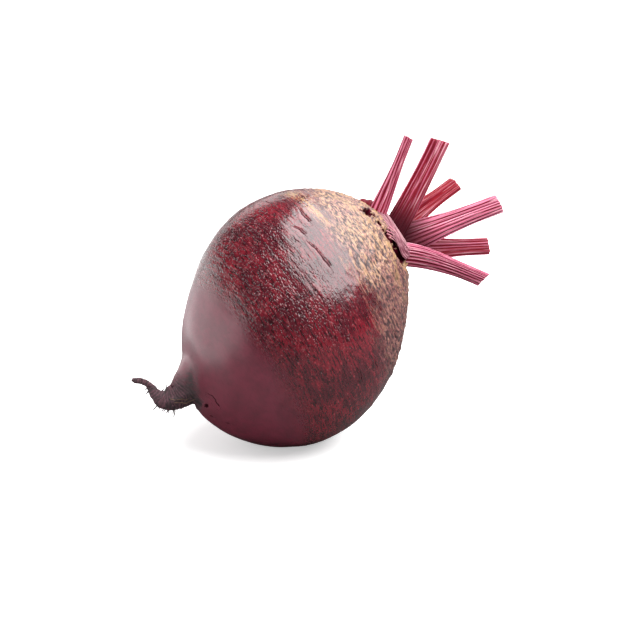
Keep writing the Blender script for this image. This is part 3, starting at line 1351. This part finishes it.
def flake_meshes(shape, root):
    """Thin dry flakes on the root's skin round the crown's collar, in the row frame."""
    draw = np.random.default_rng(shape.seed + 20)
    turn = np.linspace(-math.pi, math.pi, 12, endpoint=False)[None, :]
    axis = lying_axes(shape)[:, 1]
    along = np.linspace(0, 1, 6)
    made = []
    for index in range(FLAKE_COUNT):
        at = 2 * math.pi * (index + draw.uniform(-0.5, 0.5)) / FLAKE_COUNT
        ring = SCALE_RING["radius"] + draw.uniform(-3, 6)
        near = np.array([SCALE_RING["x"], SCALE_RING["y"], SCALE_RING["z"]])
        near = near + ring * np.array([math.cos(at), 0, math.sin(at)])
        found, base, out, _ = root.closest_point_on_mesh(Vector(in_row(near, placement(shape))))
        if not found:
            raise RuntimeError("a crown flake found no skin to stand on")
        base, out = np.array(base), np.array(out)
        rise = unit(axis - out * (axis @ out) + out * draw.uniform(-0.1, 0.35))
        height, width = draw.uniform(0.6, 1.6) * MM, draw.uniform(0.4, 1.0) * MM
        line = base - out * 0.2 * MM + rise * (height * along)[:, None]
        wide = width * (1 - 0.8 * along**2) * (1 + 0.25 * np.sin(9 * along + index))
        thin = 0.2 * MM * (1 - 0.6 * along)
        relief = 1 + 0.15 * np.cos(3 * turn + index) + 0 * along[:, None]
        rings = swept_rings(line, np.tile(rise, (6, 1)), out, thin, wide, turn, relief)
        made.append(closed_mesh("flake", rings))
    return made


def fibre_mesh(shape):
    """The white fibres torn from the web, in the row frame."""
    turn = np.linspace(-math.pi, math.pi, 8, endpoint=False)[None, :]
    along = np.linspace(0, 1, 12)
    made = []
    for index, (start, end) in enumerate(FIBRES):
        start, end = np.array(start), np.array(end)
        curl = np.array([0, 0.5, -0.5]) * (0.6 + 0.3 * math.sin(index))
        line = start + along[:, None] * (end - start) + (along * (1 - along) * 2)[:, None] * curl
        thin = 0.3 * (1.05 - along)
        headings = unit(np.gradient(line, axis=0))
        rings = swept_rings(line, headings, np.array([0, 1.0, 0.2]), thin, thin, turn, np.ones((12, 8)))
        made.append(closed_mesh("fibre", rings))
    mesh = joined(made, "torn_fibres")
    dress_stalk(mesh, (len(mesh.vertices) - 2,), rib=1.0, tone=1.0, along=1.0, pale=1.0, cut=1.0)
    store(mesh, "grown", points_of(mesh) * 0.1)
    lay(mesh, shape)
    return mesh


class BEETROOT_OT_stalks(bpy.types.Operator):
    """Grow the cut leaf stalks in the crown"""

    bl_idname = "beetroot.stalks"
    bl_label = "Leaf stalks"

    def execute(self, context):
        shape, colours = context.scene.beetroot_shape, context.scene.beetroot_colours
        for index in range(len(STALKS)):
            name = f"leaf_stalk_{index + 1}"
            show(name + "_skin", stalk_mesh(index, shape), stalk_skin(colours), [name])
        return {"FINISHED"}


class BEETROOT_OT_crown(bpy.types.Operator):
    """Grow the web, its torn fibres, the old stumps and the dry flakes at the stalks' feet"""

    bl_idname = "beetroot.crown"
    bl_label = "Crown"

    def execute(self, context):
        shape, colours = context.scene.beetroot_shape, context.scene.beetroot_colours
        stalk = stalk_skin(colours)
        show("stalk_web", web_mesh(shape), web_skin(colours))
        for index in range(len(STUMPS)):
            show(f"old_stump_{index + 1}", stump_mesh(index, shape), stalk)
        show("torn_fibres", fibre_mesh(shape), stalk)
        flakes = joined(flake_meshes(shape, bpy.data.objects["root_skin"]), "crown_flakes")
        show("crown_flakes", flakes, flake_skin(colours))
        return {"FINISHED"}


class BEETROOT_OT_rootlets(bpy.types.Operator):
    """Grow the fine rootlets on the tail"""

    bl_idname = "beetroot.rootlets"
    bl_label = "Rootlets"

    def execute(self, context):
        shape = context.scene.beetroot_shape
        draw = np.random.default_rng(shape.seed)
        line, headings, radii = tail_line(200)
        strands = [(np.array(start, float), np.array(end, float)) for start, end in ROOTLETS]
        for _ in range(SHORT_ROOTLETS):
            at = int(draw.triangular(60, 95, 170))
            side = unit(np.cross(headings[at], draw.normal(size=3)))
            start = line[at] + side * radii[at] * 0.9
            strands.append((start, start + (side + draw.normal(size=3) * 0.3) * draw.uniform(0.8, 2.4)))
        turn = np.linspace(0, 2 * math.pi, 6, endpoint=False)[None, :]
        t = np.linspace(0, 1, 9)[:, None]
        made = []
        for start, end in strands:
            path = start + (end - start) * t + draw.normal(size=3) * 0.5 * t * (1 - t)
            thin = np.linspace(0.27, 0.13, 9)
            headings = unit(np.gradient(path, axis=0))
            rings = swept_rings(path, headings, np.array([0.3, 0.2, 0.93]), thin, thin, turn, np.ones((9, 6)))
            made.append(closed_mesh("rootlet", rings))
        mesh = joined(made, "rootlets")
        lay(mesh, shape)
        show("rootlets", mesh, rootlet_skin(context.scene.beetroot_colours))
        return {"FINISHED"}


class BEETROOT_PT_panel(bpy.types.Panel):
    """The beetroot's sizes, colours and pieces"""

    bl_idname = "BEETROOT_PT_panel"
    bl_label = "Beetroot"
    bl_space_type = "VIEW_3D"
    bl_region_type = "UI"
    bl_category = "Beetroot"

    def draw(self, context):
        scene = context.scene
        for group in (scene.beetroot_shape, scene.beetroot_colours, scene.beetroot_stage):
            box = self.layout.box()
            for name in group.bl_rna.properties.keys():
                if name not in {"rna_type", "name"}:
                    box.prop(group, name)
        for operator in OPERATORS:
            self.layout.operator(operator.bl_idname)


OPERATORS = (
    BEETROOT_OT_stage,
    BEETROOT_OT_root,
    BEETROOT_OT_stalks,
    BEETROOT_OT_crown,
    BEETROOT_OT_rootlets,
)
GROUPS = {
    "beetroot_shape": BeetrootShape,
    "beetroot_colours": BeetrootColours,
    "beetroot_stage": BeetrootStage,
}


def register():
    for cls in (*GROUPS.values(), *OPERATORS, BEETROOT_PT_panel):
        bpy.utils.register_class(cls)
    for name, group in GROUPS.items():
        setattr(bpy.types.Scene, name, bpy.props.PointerProperty(type=group))


def unregister():
    for name in GROUPS:
        delattr(bpy.types.Scene, name)
    for cls in (BEETROOT_PT_panel, *reversed(OPERATORS), *reversed(GROUPS.values())):
        bpy.utils.unregister_class(cls)


def main():
    register()
    bpy.ops.beetroot.stage()
    bpy.ops.beetroot.root()
    bpy.ops.beetroot.stalks()
    bpy.ops.beetroot.crown()
    bpy.ops.beetroot.rootlets()


if __name__ == "__main__":
    main()
